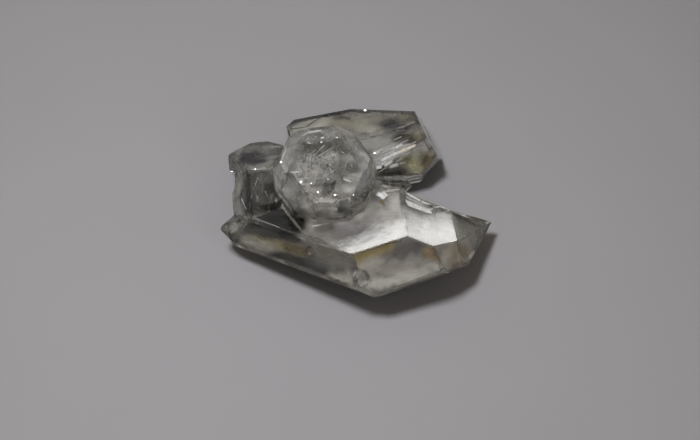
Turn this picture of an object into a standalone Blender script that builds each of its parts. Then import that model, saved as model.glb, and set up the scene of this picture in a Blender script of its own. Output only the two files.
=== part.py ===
"""Cluster of intergrown herkimer diamonds: doubly terminated quartz crystals grown into one another.

Each crystal is a block cut flat along its crystal faces. The blocks are joined into one solid, which is
then levelled underneath where it rests. Lengths below are in millimetres, angles in degrees, +Z up.
"""

import math
from dataclasses import dataclass

import bmesh
import bpy
from mathutils import Matrix, Vector

# Quartz's usual face tilts. A tilt is the angle from the crystal's long axis to a face's outward normal.
PRISM = 90.0
RHOMB = 51.8
STEEP_RHOMB = 68.5
FAR_RHOMB = 180.0 - RHOMB
BASAL = 0.0

MILLIMETRE = 0.001
BLANK_SIZE = 60.0
CUT_TOLERANCE = 1e-5


@dataclass(frozen=True)
class Face:
    """One flat crystal face: tilt from the long axis, turn about it, and distance from the centre."""

    tilt: float
    turn: float
    distance: float


@dataclass(frozen=True)
class Crystal:
    """One crystal: its centre, which way its long axis points, its turn about that axis, its faces."""

    name: str
    centre: tuple
    heading: float
    rise: float
    roll: float
    faces: tuple


def form(tilt, first_turn, *distances):
    """One face every 60 degrees at the same tilt, each at its own distance from the centre."""
    return tuple(Face(tilt, first_turn + 60.0 * i, distance) for i, distance in enumerate(distances))


# The main crystal's upper right end face, which a strip has split off.
UPPER_RIGHT = Face(51.9, -56.4, 4.35)

# The main crystal lies on a prism face, its long axis rising a little to the right. Its faces come in
# this order: the six sides, the right end, the blunt corner behind, and the left end.
MAIN = Crystal(
    name="main_crystal",
    centre=(4.25, -4.2, 4.8),
    heading=15.6,
    rise=7.9,
    roll=-54.0,
    faces=(
        Face(89.5, -63.8, 4.7),
        Face(89.0, 2.0, 4.7),
        Face(88.2, 60.7, 4.35),
        Face(PRISM, 120.0, 4.7),
        Face(PRISM, 180.0, 4.6),
        Face(PRISM, -120.0, 6.7),
        UPPER_RIGHT,
        Face(53.5, -3.3, 5.4),
        Face(RHOMB, -120.0, 4.7),
        Face(43.9, -54.9, 4.8),
        Face(38.6, -4.4, 5.9),
        Face(57.3, 73.5, 6.3),
        Face(RHOMB, 120.0, 8.5),
        Face(RHOMB, 180.0, 7.5),
        Face(107.0, 55.0, 5.5),
        Face(128.9, 0.9, 6.85),
        Face(FAR_RHOMB, 60.0, 6.0),
        Face(FAR_RHOMB, -60.0, 12.0),
        Face(152.0, -31.5, 13.1),
        Face(FAR_RHOMB, -120.0, 14.2),
        Face(FAR_RHOMB, 120.0, 9.4),
        Face(FAR_RHOMB, 180.0, 13.0),
    ),
)

# A narrower growth of the main crystal carries its right tip past the step behind it. Its faces lie a
# little inside the main crystal's, so that no two faces coincide.
TIP = Crystal(
    name="main_crystal_tip",
    centre=MAIN.centre,
    heading=MAIN.heading,
    rise=MAIN.rise,
    roll=MAIN.roll,
    faces=(
        Face(43.9, -54.9, 4.77),
        Face(38.6, -4.4, 5.87),
        Face(57.3, 73.5, 6.27),
        Face(60.9, -120.3, 4.15),
        Face(51.9, -56.4, 4.0),
        Face(53.5, -3.3, 5.0),
        Face(PRISM, 0.0, 3.5),
        Face(PRISM, 60.0, 3.5),
        Face(PRISM, 120.0, 3.0),
        Face(PRISM, 180.0, 2.5),
        Face(PRISM, -120.0, 3.4),
        Face(PRISM, -60.0, 3.5),
        Face(180.0, 0.0, -4.0),
    ),
)

# The round crystal stands on top, its long axis pointing up and to the front.
ROUND = Crystal(
    name="round_crystal",
    centre=(-3.3, 1.0, 8.8),
    heading=-80.0,
    rise=63.0,
    roll=3.0,
    faces=(
        form(PRISM, 0.0, 4.6, 4.7, 4.6, 4.5, 4.9, 4.6)
        + form(PRISM, 30.0, 5.0, 4.9, 4.9, 5.1, 4.8, 4.9)
        + form(RHOMB, 0.0, 5.1, 5.2, 5.0, 5.1, 5.4, 5.2)
        + form(STEEP_RHOMB, 30.0, 5.0, 5.1, 5.0, 5.4, 5.3, 5.2)
        + form(BASAL, 0.0, 4.3)
        + form(FAR_RHOMB, 0.0, 9.0, 9.0, 9.0, 9.0, 9.0, 9.0)
    ),
)

# The left crystal lies towards the back, one steep end face sloping away from the viewer.
LEFT = Crystal(
    name="left_crystal",
    centre=(-9.3, 0.3, 3.2),
    heading=97.0,
    rise=5.0,
    roll=3.0,
    faces=(
        form(PRISM, 0.0, 2.9, 2.9, 2.8, 3.3, 2.7, 2.8)
        + form(RHOMB, 0.0, 4.3, 6.2, 6.6, 6.6, 6.6, 6.6)
        + form(FAR_RHOMB, 0.0, 2.6, 2.6, 2.6, 2.6, 2.6, 2.6)
    ),
)

# The back crystal lies from left to right behind the round one.
BACK = Crystal(
    name="back_crystal",
    centre=(0.0, 6.8, 4.7),
    heading=13.0,
    rise=0.0,
    roll=15.0,
    faces=(
        form(PRISM, 0.0, 3.5, 3.5, 4.0, 4.2, 3.5, 3.8)
        + (
            Face(80.8, 80.7, 4.1),
            Face(20.5, -4.0, 7.1),
            Face(RHOMB, 120.0, 6.9),
            Face(RHOMB, -60.0, 7.2),
            Face(75.5, -47.0, 4.0),
            Face(177.0, -175.0, 6.6),
            Face(FAR_RHOMB, -60.0, 6.6),
            Face(FAR_RHOMB, 120.0, 7.5),
        )
    ),
)

# A small blocky crystal sits on the main crystal's left end.
END_NUB = Crystal(
    name="end_nub",
    centre=(-11.7, -2.1, 3.7),
    heading=190.0,
    rise=25.0,
    roll=20.0,
    faces=(
        form(PRISM, 0.0, 1.2, 1.3, 1.3, 1.4, 1.3, 1.2)
        + form(RHOMB, 0.0, 1.4, 1.5, 1.3, 1.2, 1.4, 1.5)
        + form(FAR_RHOMB, 0.0, 2.0, 2.0, 2.0, 2.0, 2.0, 2.0)
    ),
)

# A thin crystal fills the corner between the main, round and back crystals.
CORNER = Crystal(
    name="corner_crystal",
    centre=(2.7, 1.0, 7.2),
    heading=-4.0,
    rise=2.0,
    roll=12.0,
    faces=(
        form(PRISM, 0.0, 0.7, 0.8, 0.8, 0.7, 0.8, 0.8)
        + form(RHOMB, 0.0, 1.7, 1.8, 1.7, 1.9, 1.7, 1.8)
        + form(FAR_RHOMB, 0.0, 2.2, 2.2, 2.2, 2.2, 2.2, 2.2)
    ),
)

CRYSTALS = (MAIN, TIP, ROUND, LEFT, BACK, END_NUB, CORNER)


@dataclass(frozen=True)
class Scoop:
    """A shell-shaped chip: the spot it was struck at, the way it faces, its radius and its depth."""

    spot: tuple
    facing: tuple
    radius: float
    depth: float


@dataclass(frozen=True)
class Ledge:
    """A strip split off along an edge: its two ends on the face, its width, depth and face turn."""

    start: tuple
    end: tuple
    width: float
    depth: float
    face: Face


SCOOPS = (
    Scoop((0.6, -9.6, 6.8), (-0.17, -0.86, 0.49), 3.2, 0.45),
    Scoop((0.9, -10.2, 5.0), (-0.05, -0.95, -0.3), 2.0, 0.35),
    Scoop((-4.6, -6.5, 6.85), (-0.49, -0.8, 0.36), 0.4, 0.15),
    Scoop((7.7, -1.3, 7.4), (0.42, 0.6, 0.68), 0.6, 0.35),
    Scoop((9.0, -1.5, 6.8), (0.5, 0.6, 0.62), 0.5, 0.2),
    Scoop((8.5, -8.2, 6.0), (0.4, -0.9, 0.1), 0.5, 0.15),
    Scoop((-12.2, 3.4, 3.0), (-0.9, 0.2, 0.4), 1.4, 0.3),
)
SCOOP_FINENESS = 3

# The strip that split off along the ridge behind the main crystal's upper right end face.
RIDGE_LEDGE = Ledge((4.65, -1.95, 9.2), (7.35, -2.3, 7.75), 2.2, 0.3, UPPER_RIGHT)
LEDGE_CUT_HEIGHT = 2.0


def crystal_frame(crystal):
    """The crystal's own frame in the world: Z is its long axis, X the normal of its turn-0 prism face."""
    heading = math.radians(crystal.heading)
    rise = math.radians(crystal.rise)
    roll = math.radians(crystal.roll)
    level = math.cos(rise)
    axis = Vector((math.cos(heading) * level, math.sin(heading) * level, math.sin(rise)))
    side = Vector((-math.sin(heading), math.cos(heading), 0.0))
    up = axis.cross(side)
    first = up * math.cos(roll) + side * math.sin(roll)
    return Matrix((first, axis.cross(first), axis)).transposed()


def outward(face):
    """The face's outward normal in the crystal's own frame."""
    tilt = math.radians(face.tilt)
    turn = math.radians(face.turn)
    level = math.sin(tilt)
    return Vector((level * math.cos(turn), level * math.sin(turn), math.cos(tilt)))


def cut_flat(body, point, normal):
    """Cut the body along a plane, drop what lies outside it and close the cut with one flat face."""
    everything = body.verts[:] + body.edges[:] + body.faces[:]
    cut = bmesh.ops.bisect_plane(
        body, geom=everything, dist=CUT_TOLERANCE, plane_co=point, plane_no=normal, clear_outer=True
    )
    rim = [item for item in cut["geom_cut"] if isinstance(item, bmesh.types.BMEdge)]
    open_rim = [edge for edge in rim if edge.is_boundary]
    if open_rim:
        bmesh.ops.edgeloop_fill(body, edges=open_rim)


def hide_helper(helper):
    """A helper shapes the cluster and is never drawn."""
    helper.hide_render = True
    helper.display_type = "WIRE"


def object_from(body, name, collection):
    """Turn a shape in millimetres into an object in metres."""
    bmesh.ops.scale(body, vec=Vector((MILLIMETRE,) * 3), verts=body.verts)
    mesh = bpy.data.meshes.new(name)
    body.to_mesh(mesh)
    body.free()
    made = bpy.data.objects.new(name, mesh)
    collection.objects.link(made)
    return made


def helper_object(body, name, collection):
    """Turn a cutter's shape, in millimetres, into a hidden object in metres."""
    helper = object_from(body, name, collection)
    hide_helper(helper)
    return helper


def crystal_object(crystal, collection, material):
    """Cut one crystal out of a block and put it where it grew."""
    body = bmesh.new()
    bmesh.ops.create_cube(body, size=BLANK_SIZE)
    frame = crystal_frame(crystal)
    for face in crystal.faces:
        normal = frame @ outward(face)
        cut_flat(body, normal * face.distance, normal)
    bmesh.ops.translate(body, vec=Vector(crystal.centre), verts=body.verts)
    bmesh.ops.recalc_face_normals(body, faces=body.faces)
    made = object_from(body, crystal.name, collection)
    made.data.materials.append(material)
    return made


def quartz_material():
    """Clear colourless quartz with polished-looking natural faces."""
    material = bpy.data.materials.new("clear_quartz")
    material.use_nodes = True
    shader = material.node_tree.nodes["Principled BSDF"]
    shader.inputs["Base Color"].default_value = (0.93, 0.92, 0.88, 1.0)
    shader.inputs["Roughness"].default_value = 0.03
    shader.inputs["Metallic"].default_value = 0.0
    shader.inputs["IOR"].default_value = 1.544
    shader.inputs["Transmission Weight"].default_value = 1.0
    return material


def clear_scene():
    """Remove every object that the file holds."""
    for item in list(bpy.data.objects):
        bpy.data.objects.remove(item, do_unlink=True)


def new_collection(name):
    """Make a collection and link it to the scene."""
    collection = bpy.data.collections.new(name)
    bpy.context.scene.collection.children.link(collection)
    return collection


def scoop_cutter(scoop, number, collection):
    """A ball that reaches the scoop's depth below its spot."""
    body = bmesh.new()
    bmesh.ops.create_icosphere(body, subdivisions=SCOOP_FINENESS, radius=scoop.radius)
    facing = Vector(scoop.facing).normalized()
    centre = Vector(scoop.spot) + facing * (scoop.radius - scoop.depth)
    bmesh.ops.translate(body, vec=centre, verts=body.verts)
    return helper_object(body, f"scoop_{number}", collection)


def ledge_cutter(ledge, crystal, collection):
    """A block that takes a strip off one face of a crystal, from the ledge's line out to the edge."""
    start = Vector(ledge.start)
    along = Vector(ledge.end) - start
    length = along.length
    along.normalize()
    up = crystal_frame(crystal) @ outward(ledge.face)
    across = up.cross(along).normalized()
    up = along.cross(across)
    body = bmesh.new()
    bmesh.ops.create_cube(body, size=1.0)
    bmesh.ops.scale(body, vec=Vector((length, ledge.width, LEDGE_CUT_HEIGHT)), verts=body.verts)
    turn = Matrix((along, across, up)).transposed()
    bmesh.ops.rotate(body, matrix=turn, verts=body.verts)
    centre = start + along * length / 2.0 + across * ledge.width / 2.0
    centre += up * (LEDGE_CUT_HEIGHT / 2.0 - ledge.depth)
    bmesh.ops.translate(body, vec=centre, verts=body.verts)
    return helper_object(body, "ridge_ledge", collection)


def surface_cutter(collection):
    """A block whose top is the surface that the cluster rests on."""
    body = bmesh.new()
    bmesh.ops.create_cube(body, size=BLANK_SIZE)
    bmesh.ops.translate(body, vec=Vector((0.0, 0.0, -BLANK_SIZE / 2.0)), verts=body.verts)
    return helper_object(body, "resting_surface", collection)


def boolean(cluster, operation, other):
    """Join another solid to the cluster, or cut it away."""
    step = cluster.modifiers.new(other.name, "BOOLEAN")
    step.operation = operation
    step.solver = "EXACT"
    step.object = other


def shift_to_origin(objects):
    """The level move that centres the outline of all these objects over the origin."""
    corners = [vertex.co for item in objects for vertex in item.data.vertices if vertex.co.z > 0.0]
    middle_x = (min(corner.x for corner in corners) + max(corner.x for corner in corners)) / 2.0
    middle_y = (min(corner.y for corner in corners) + max(corner.y for corner in corners)) / 2.0
    return Vector((-middle_x, -middle_y, 0.0))


def main():
    clear_scene()
    parts = new_collection("herkimer_cluster")
    helpers = new_collection("helpers")
    quartz = quartz_material()
    cluster = crystal_object(MAIN, parts, quartz)
    cluster.name = "crystal_cluster"
    others = [crystal_object(crystal, helpers, quartz) for crystal in CRYSTALS[1:]]
    for other in others:
        hide_helper(other)
        boolean(cluster, "UNION", other)
    shift = shift_to_origin([cluster] + others)
    cutters = [scoop_cutter(scoop, number, helpers) for number, scoop in enumerate(SCOOPS, 1)]
    cutters.append(ledge_cutter(RIDGE_LEDGE, MAIN, helpers))
    cutters.append(surface_cutter(helpers))
    for cutter in cutters:
        boolean(cluster, "DIFFERENCE", cutter)
    for item in [cluster] + others + cutters:
        item.location = shift


main()
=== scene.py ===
"""Looks of a small cluster of intergrown herkimer diamonds, which are doubly terminated quartz crystals.

Every length in the classes below is in millimetres in the part's own frame, +Z up, with the cluster resting
on z = 0. Meshes are turned to metres when they are made.
"""

import logging
import math
import random
from dataclasses import dataclass, field
from enum import Enum

import bmesh
import bpy
from mathutils import Matrix, Vector, noise
from mathutils.bvhtree import BVHTree


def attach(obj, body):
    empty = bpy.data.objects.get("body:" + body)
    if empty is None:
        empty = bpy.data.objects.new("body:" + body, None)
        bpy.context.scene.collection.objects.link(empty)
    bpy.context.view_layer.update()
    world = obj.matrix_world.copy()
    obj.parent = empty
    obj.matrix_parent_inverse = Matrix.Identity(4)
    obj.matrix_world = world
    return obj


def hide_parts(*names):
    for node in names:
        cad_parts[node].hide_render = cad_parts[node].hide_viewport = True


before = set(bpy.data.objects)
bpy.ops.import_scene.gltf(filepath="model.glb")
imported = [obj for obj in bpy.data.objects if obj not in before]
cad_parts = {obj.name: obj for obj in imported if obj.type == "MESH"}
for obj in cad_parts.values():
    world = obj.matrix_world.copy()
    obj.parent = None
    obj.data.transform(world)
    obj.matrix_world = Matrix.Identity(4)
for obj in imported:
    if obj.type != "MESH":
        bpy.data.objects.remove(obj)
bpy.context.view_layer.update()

LOG = logging.getLogger("herkimer_cluster")
METRES = 0.001
BODY = "root"
CAD_NODE = "crystal_cluster"
MERGE_MM = 0.001
FLAT_WITHIN_DEGREES = 0.4

Point = tuple[float, float, float]
Span = tuple[float, float]
Colour = tuple[float, float, float, float]


def linear(hex_colour: str) -> Colour:
    """Turn an sRGB hex colour into linear light.

    Args:
        hex_colour: Six hex digits, such as "8A7040".

    Returns:
        Red, green, blue and alpha, from 0 to 1.
    """
    channels = [int(hex_colour[i : i + 2], 16) / 255.0 for i in (0, 2, 4)]
    turned = [c / 12.92 if c <= 0.04045 else ((c + 0.055) / 1.055) ** 2.4 for c in channels]
    return (turned[0], turned[1], turned[2], 1.0)


def add_node(
    tree: bpy.types.NodeTree, kind: str, settings: dict | None = None, inputs: dict | None = None
) -> bpy.types.Node:
    """Add one node with its settings and links.

    Args:
        tree: The node tree that the node goes into.
        kind: Blender's name for the node's type.
        settings: Property names and their values.
        inputs: Socket names or numbers, each with a value or with the output socket to link.

    Returns:
        The new node.
    """
    node = tree.nodes.new(kind)
    for name, value in (settings or {}).items():
        setattr(node, name, value)
    for name, value in (inputs or {}).items():
        if isinstance(value, bpy.types.NodeSocket):
            tree.links.new(value, node.inputs[name])
        else:
            node.inputs[name].default_value = value
    return node


def new_material(name: str) -> tuple[bpy.types.Material, bpy.types.NodeTree]:
    """Make an empty node material.

    Args:
        name: The material's name.

    Returns:
        The material and its node tree.
    """
    material = bpy.data.materials.new(name)
    material.use_nodes = True
    material.node_tree.nodes.clear()
    return material, material.node_tree


def object_noise(
    tree: bpy.types.NodeTree,
    size_mm: float,
    detail: float = 3.0,
    roughness: float = 0.5,
    distortion: float = 0.0,
    stretch: float = 1.0,
) -> bpy.types.NodeSocket:
    """Add a noise on object coordinates.

    Args:
        tree: The material's node tree.
        size_mm: How large its patches are.
        detail: How many finer layers it has.
        roughness: How strong those are.
        distortion: How far its patches are pulled about.
        stretch: How many times as long they are along X.

    Returns:
        The noise, from 0 to 1 and mostly near 0.5.
    """
    place = add_node(tree, "ShaderNodeTexCoord")
    drawn_out = add_node(
        tree,
        "ShaderNodeMapping",
        inputs={"Vector": place.outputs["Object"], "Scale": Vector((1.0 / stretch, 1.0, 1.0))},
    )
    patches = add_node(
        tree,
        "ShaderNodeTexNoise",
        inputs={
            "Vector": drawn_out.outputs["Vector"],
            "Scale": 1.0 / (size_mm * METRES),
            "Detail": detail,
            "Roughness": roughness,
            "Distortion": distortion,
        },
    )
    return patches.outputs["Fac"]


def remap(
    tree: bpy.types.NodeTree, value: bpy.types.NodeSocket, taken: Span, given: Span, eased: bool = False
) -> bpy.types.NodeSocket:
    """Turn one range of a value into another, and hold what lies outside at its ends.

    Args:
        tree: The material's node tree.
        value: The value.
        taken: The range that it is read over.
        given: The range that it is turned into.
        eased: Whether it starts and ends softly.

    Returns:
        The turned value.
    """
    made = add_node(
        tree,
        "ShaderNodeMapRange",
        {"interpolation_type": "SMOOTHSTEP" if eased else "LINEAR"},
        {"Value": value, "From Min": taken[0], "From Max": taken[1], "To Min": given[0], "To Max": given[1]},
    )
    return made.outputs["Result"]


def blend(
    tree: bpy.types.NodeTree, share: bpy.types.NodeSocket, one: str, other: str
) -> bpy.types.NodeSocket:
    """Blend two colours.

    Args:
        tree: The material's node tree.
        share: How much of the other colour shows, from 0 to 1.
        one: A colour in sRGB hex.
        other: Another.

    Returns:
        The blended colour.
    """
    made = add_node(
        tree,
        "ShaderNodeMix",
        {"data_type": "RGBA"},
        {"Factor": share, "A": linear(one), "B": linear(other)},
    )
    return made.outputs[2]


def relief(
    tree: bpy.types.NodeTree, height: bpy.types.NodeSocket, height_mm: float
) -> bpy.types.NodeSocket:
    """Give a surface a fine relief.

    Args:
        tree: The material's node tree.
        height: Its pattern, from 0 to 1.
        height_mm: How high it stands at 1.

    Returns:
        The bumped normal.
    """
    made = add_node(
        tree, "ShaderNodeBump", inputs={"Height": height, "Strength": 1.0, "Distance": height_mm * METRES}
    )
    return made.outputs["Normal"]


def shade(
    tree: bpy.types.NodeTree, kind: str, inputs: dict, volume: bpy.types.NodeSocket | None = None
) -> None:
    """Add a shader and make it the material's surface.

    Args:
        tree: The material's node tree.
        kind: Blender's name for the shader's type.
        inputs: Its socket names, each with a value or with the output socket to link.
        volume: What fills the inside.
    """
    ends = {"Surface": add_node(tree, kind, inputs=inputs).outputs[0]}
    if volume is not None:
        ends["Volume"] = volume
    add_node(tree, "ShaderNodeOutputMaterial", inputs=ends)


def object_from(shape: bmesh.types.BMesh, name: str, material: bpy.types.Material) -> bpy.types.Object:
    """Turn a shape in millimetres into an object in metres that sits at the origin.

    Args:
        shape: The mesh, which is freed.
        name: The object's name.
        material: What it is made of.

    Returns:
        The new object.
    """
    bmesh.ops.scale(shape, vec=Vector((METRES,) * 3), verts=shape.verts)
    mesh = bpy.data.meshes.new(name)
    shape.to_mesh(mesh)
    shape.free()
    mesh.materials.append(material)
    made = bpy.data.objects.new(name, mesh)
    bpy.context.scene.collection.objects.link(made)
    return made


def whole_faces() -> bmesh.types.BMesh:
    """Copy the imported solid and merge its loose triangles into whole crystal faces.

    Returns:
        The closed shape, in millimetres.
    """
    shape = bmesh.new()
    shape.from_mesh(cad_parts[CAD_NODE].data)
    bmesh.ops.scale(shape, vec=Vector((1.0 / METRES,) * 3), verts=shape.verts)
    bmesh.ops.remove_doubles(shape, verts=shape.verts, dist=MERGE_MM)
    bmesh.ops.dissolve_limit(
        shape, angle_limit=math.radians(FLAT_WITHIN_DEGREES), verts=shape.verts, edges=shape.edges
    )
    bmesh.ops.recalc_face_normals(shape, faces=shape.faces)
    return shape


def unit_sheet(shape: bmesh.types.BMesh, cells: Span, fewest: int) -> list[bmesh.types.BMVert]:
    """Add a flat sheet one millimetre square, as a grid.

    Args:
        shape: What it is added to.
        cells: How many cells it gets along X and along Y, before rounding.
        fewest: The least that it gets each way.

    Returns:
        The sheet's vertices.
    """
    return bmesh.ops.create_grid(
        shape, x_segments=max(fewest, round(cells[0])), y_segments=max(fewest, round(cells[1])), size=0.5
    )["verts"]


def rough_noise(place: Vector, smoothness: float = 0.9, fineness: float = 2.0, layers: int = 3) -> float:
    """Sample a noise of about -1 to 1 that is built of finer and finer layers."""
    return noise.fractal(place, smoothness, fineness, layers)


def smooth_step(share: float) -> float:
    """Ease a share between 0 and 1, and clamp what lies outside."""
    share = min(1.0, max(0.0, share))
    return share * share * (3.0 - 2.0 * share)


@dataclass(frozen=True)
class RockCrystal:
    """Clear quartz with natural growth faces: glassy, faintly smoky, and slightly uneven where it grew."""

    name: str = "rock_crystal_natural_faces"
    colour: str = "FFFFFF"
    index: float = 1.544
    roughness: float = 0.02
    smoke: str = "D9D2C0"
    smoke_per_metre: float = 30.0
    hillock_mm: float = 1.6
    relief_mm: float = 0.004

    def build(self) -> bpy.types.Material:
        """Make the material.

        Returns:
            Clear glass with a faint volume tint and low growth hillocks.
        """
        material, tree = new_material(self.name)
        hillocks = object_noise(tree, self.hillock_mm)
        smoke = add_node(
            tree,
            "ShaderNodeVolumeAbsorption",
            inputs={"Color": linear(self.smoke), "Density": self.smoke_per_metre},
        )
        shade(
            tree,
            "ShaderNodeBsdfPrincipled",
            {
                "Base Color": linear(self.colour),
                "Roughness": self.roughness,
                "IOR": self.index,
                "Transmission Weight": 1.0,
                "Normal": relief(tree, hillocks, self.relief_mm),
            },
            volume=smoke.outputs["Volume"],
        )
        return material


@dataclass
class QuartzBody:
    """The crystals themselves, as one solid with lightly worn edges."""

    worn_edge_mm: float = 0.05
    sharp_over_degrees: float = 14.0
    shortest_worn_edge_mm: float = 0.7
    finish: RockCrystal = field(default_factory=RockCrystal)

    def worn_edges(self, shape: bmesh.types.BMesh) -> list[bmesh.types.BMEdge]:
        """Pick the crystal edges that are long and sharp enough to show wear.

        Args:
            shape: The merged solid.

        Returns:
            Its edges that get a narrow worn strip.
        """
        found = []
        for edge in shape.edges:
            long_enough = edge.calc_length() > self.shortest_worn_edge_mm
            if long_enough and len(edge.link_faces) == 2:
                if edge.calc_face_angle() > math.radians(self.sharp_over_degrees):
                    found.append(edge)
        return found

    def build(self) -> bpy.types.Object:
        """Copy the solid, merge its triangles into whole faces and wear its edges.

        Returns:
            The piece that stands for the CAD node.
        """
        shape = whole_faces()
        bmesh.ops.bevel(
            shape,
            geom=self.worn_edges(shape),
            offset=self.worn_edge_mm,
            offset_type="OFFSET",
            affect="EDGES",
            segments=2,
            profile=0.5,
            material=-1,
            clamp_overlap=True,
        )
        for face in shape.faces:
            face.smooth = False
        body = object_from(shape, "quartz_body", self.finish.build())
        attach(body, BODY)
        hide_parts(CAD_NODE)
        return body


class Inside:
    """Tells where the crystal faces are and how deep a point lies under them."""

    def __init__(self) -> None:
        """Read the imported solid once."""
        shape = whole_faces()
        self.tree = BVHTree.FromBMesh(shape)
        shape.free()

    def depth(self, point: Vector) -> float:
        """Measure from a point to the nearest crystal face.

        Args:
            point: A place in millimetres.

        Returns:
            The depth in millimetres, below zero outside the quartz.
        """
        nearest, normal, _, distance = self.tree.find_nearest(point)
        return distance if (nearest - point).dot(normal) > 0.0 else -distance

    def facing(self, point: Vector) -> Vector:
        """Say which way the nearest crystal face points."""
        return self.tree.find_nearest(point)[1]

    def on_face(self, point: Vector, lift: float) -> Vector:
        """Bring a point on to the nearest crystal face.

        Args:
            point: A place in millimetres.
            lift: How far off the face it ends.

        Returns:
            The place just off the face.
        """
        nearest, normal, _, _ = self.tree.find_nearest(point)
        return nearest + normal * lift


@dataclass(frozen=True)
class QuartzFlaw:
    """A flaw of quartz as a thin film.

    The film's mesh carries its colour as "tint", how much it hides as "cover", and how much lighter or darker
    each flat step of a crumpled film is drawn as "facet", which is painted light and shade for the parts of the
    room that the steps mirror. A healed crack is a sheet of tiny fluid pockets, which throws light back as a
    soft silvery haze. An open crack holds air, so it glints like a mirror in broken patches. A chipped or
    iron-stained face is matt; the same matt film also carries painted highlights and painted shade.
    """

    name: str
    mirror: float = 1.0
    roughness: float = 0.5
    patch_mm: float = 1.1
    patch_edges: Span = (0.36, 0.64)
    gaps: float = 0.5
    grain_mm: float = 0.28
    grain_roughness: float = 0.6
    grain_edges: Span = (0.3, 0.7)
    speckle: float = 0.3
    relief_mm: float = 0.1
    stretch: float = 1.0

    def build(self) -> bpy.types.Material:
        """Make the material.

        Returns:
            A film with noise in its cover, its colour and its relief, on object coordinates.
        """
        material, tree = new_material(self.name)
        patches = object_noise(tree, self.patch_mm, stretch=self.stretch)
        grain = object_noise(tree, self.grain_mm, roughness=self.grain_roughness, stretch=self.stretch)
        thinned = remap(tree, patches, self.patch_edges, (1.0 - self.gaps, 1.0), eased=True)
        speckle = remap(tree, grain, self.grain_edges, (1.0 - self.speckle, 1.0 + self.speckle))
        tint = add_node(tree, "ShaderNodeAttribute", {"attribute_name": "tint"})
        cover = add_node(tree, "ShaderNodeAttribute", {"attribute_name": "cover"})
        facet = add_node(tree, "ShaderNodeAttribute", {"attribute_name": "facet"})
        shown = add_node(
            tree, "ShaderNodeMath", {"operation": "MULTIPLY"}, {0: cover.outputs["Fac"], 1: thinned}
        )
        tone = add_node(
            tree,
            "ShaderNodeMath",
            {"operation": "MULTIPLY_ADD"},
            {0: facet.outputs["Fac"], 1: speckle, 2: speckle},
        )
        colour = add_node(
            tree,
            "ShaderNodeVectorMath",
            {"operation": "SCALE"},
            {0: tint.outputs["Color"], "Scale": tone.outputs["Value"]},
        )
        shade(
            tree,
            "ShaderNodeBsdfPrincipled",
            {
                "Base Color": colour.outputs["Vector"],
                "Metallic": self.mirror,
                "Roughness": self.roughness,
                "Alpha": shown.outputs["Value"],
                "Normal": relief(tree, grain, self.relief_mm),
            },
        )
        return material


# Fluid pockets close under the growth faces and in healed cracks: soft, milky, without glints. The layer under
# the faces also uses it for painted shade, in some of its darkest clouds.
MILKY_HAZE = QuartzFlaw(
    "healed_crack_haze", roughness=0.5, patch_mm=1.4, gaps=0.25, speckle=0.1, relief_mm=0.02, stretch=2.0
)
# Air has entered these cracks, so they flash where they face the light.
OPEN_CRACK = QuartzFlaw("open_crack_silver", roughness=0.22, patch_mm=0.7, gaps=0.9, relief_mm=0.14)
# Cracks crumpled like foil, whose small flat steps each mirror another part of the room.
CRUMPLED = QuartzFlaw("crumpled_crack_silver", roughness=0.08, patch_mm=0.9, gaps=0.4, relief_mm=0.01)
# Small flat splinters of open cracks: nearly perfect mirrors.
SPLINTER = QuartzFlaw("open_crack_splinters", roughness=0.08, patch_mm=0.5, gaps=0.0, relief_mm=0.0)
# Knocked edges and broken bits: a white sugary fracture, matt. The same matt film also carries painted
# highlights, painted glints and painted shade.
CHIPPED_AND_PAINTED_LIGHT = QuartzFlaw(
    "chipped_quartz_and_painted_light",
    mirror=0.0,
    roughness=0.4,
    patch_mm=0.45,
    gaps=0.2,
    grain_mm=0.2,
    speckle=0.12,
    relief_mm=0.05,
)


@dataclass(frozen=True)
class Carbon:
    """Anthraxolite, a hard black carbon that these crystals hold as specks: pitch black and half glossy."""

    name: str = "anthraxolite_carbon"
    dark: str = "080706"
    light: str = "2C261F"
    roughness: float = 0.45
    grain_mm: float = 0.25
    relief_mm: float = 0.04

    def build(self) -> bpy.types.Material:
        """Make the material.

        Returns:
            Near-black with a fine broken grain.
        """
        material, tree = new_material(self.name)
        grain = object_noise(tree, self.grain_mm, detail=4.0)
        shade(
            tree,
            "ShaderNodeBsdfPrincipled",
            {
                "Base Color": blend(tree, grain, self.dark, self.light),
                "Roughness": self.roughness,
                "Normal": relief(tree, grain, self.relief_mm),
            },
        )
        return material


class Film:
    """A shape in millimetres that carries the flaws' colour and cover on its vertices."""

    def __init__(self, shape: bmesh.types.BMesh | None = None) -> None:
        """Start from a shape, or from nothing.

        Args:
            shape: The shape, where there is one.
        """
        self.shape = shape or bmesh.new()
        self.tint = self.shape.verts.layers.float_color.new("tint")
        self.cover = self.shape.verts.layers.float.new("cover")
        self.facet = self.shape.faces.layers.float.new("facet")

    def dress(self, vertex: bmesh.types.BMVert, colour: Colour, cover: float) -> None:
        """Set one vertex's colour and cover."""
        vertex[self.tint] = colour
        vertex[self.cover] = cover

    def piece(self, name: str, flaw: QuartzFlaw, smooth: bool = True) -> bpy.types.Object:
        """Turn the film into a piece that rides on the cluster.

        Args:
            name: The piece's name.
            flaw: What it is.
            smooth: Whether it curves softly instead of in flat steps.

        Returns:
            The piece.
        """
        loose = [vertex for vertex in self.shape.verts if not vertex.link_faces]
        bmesh.ops.delete(self.shape, geom=loose, context="VERTS")
        for face in self.shape.faces:
            face.smooth = smooth
        made = object_from(self.shape, name, flaw.build())
        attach(made, BODY)
        return made


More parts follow.
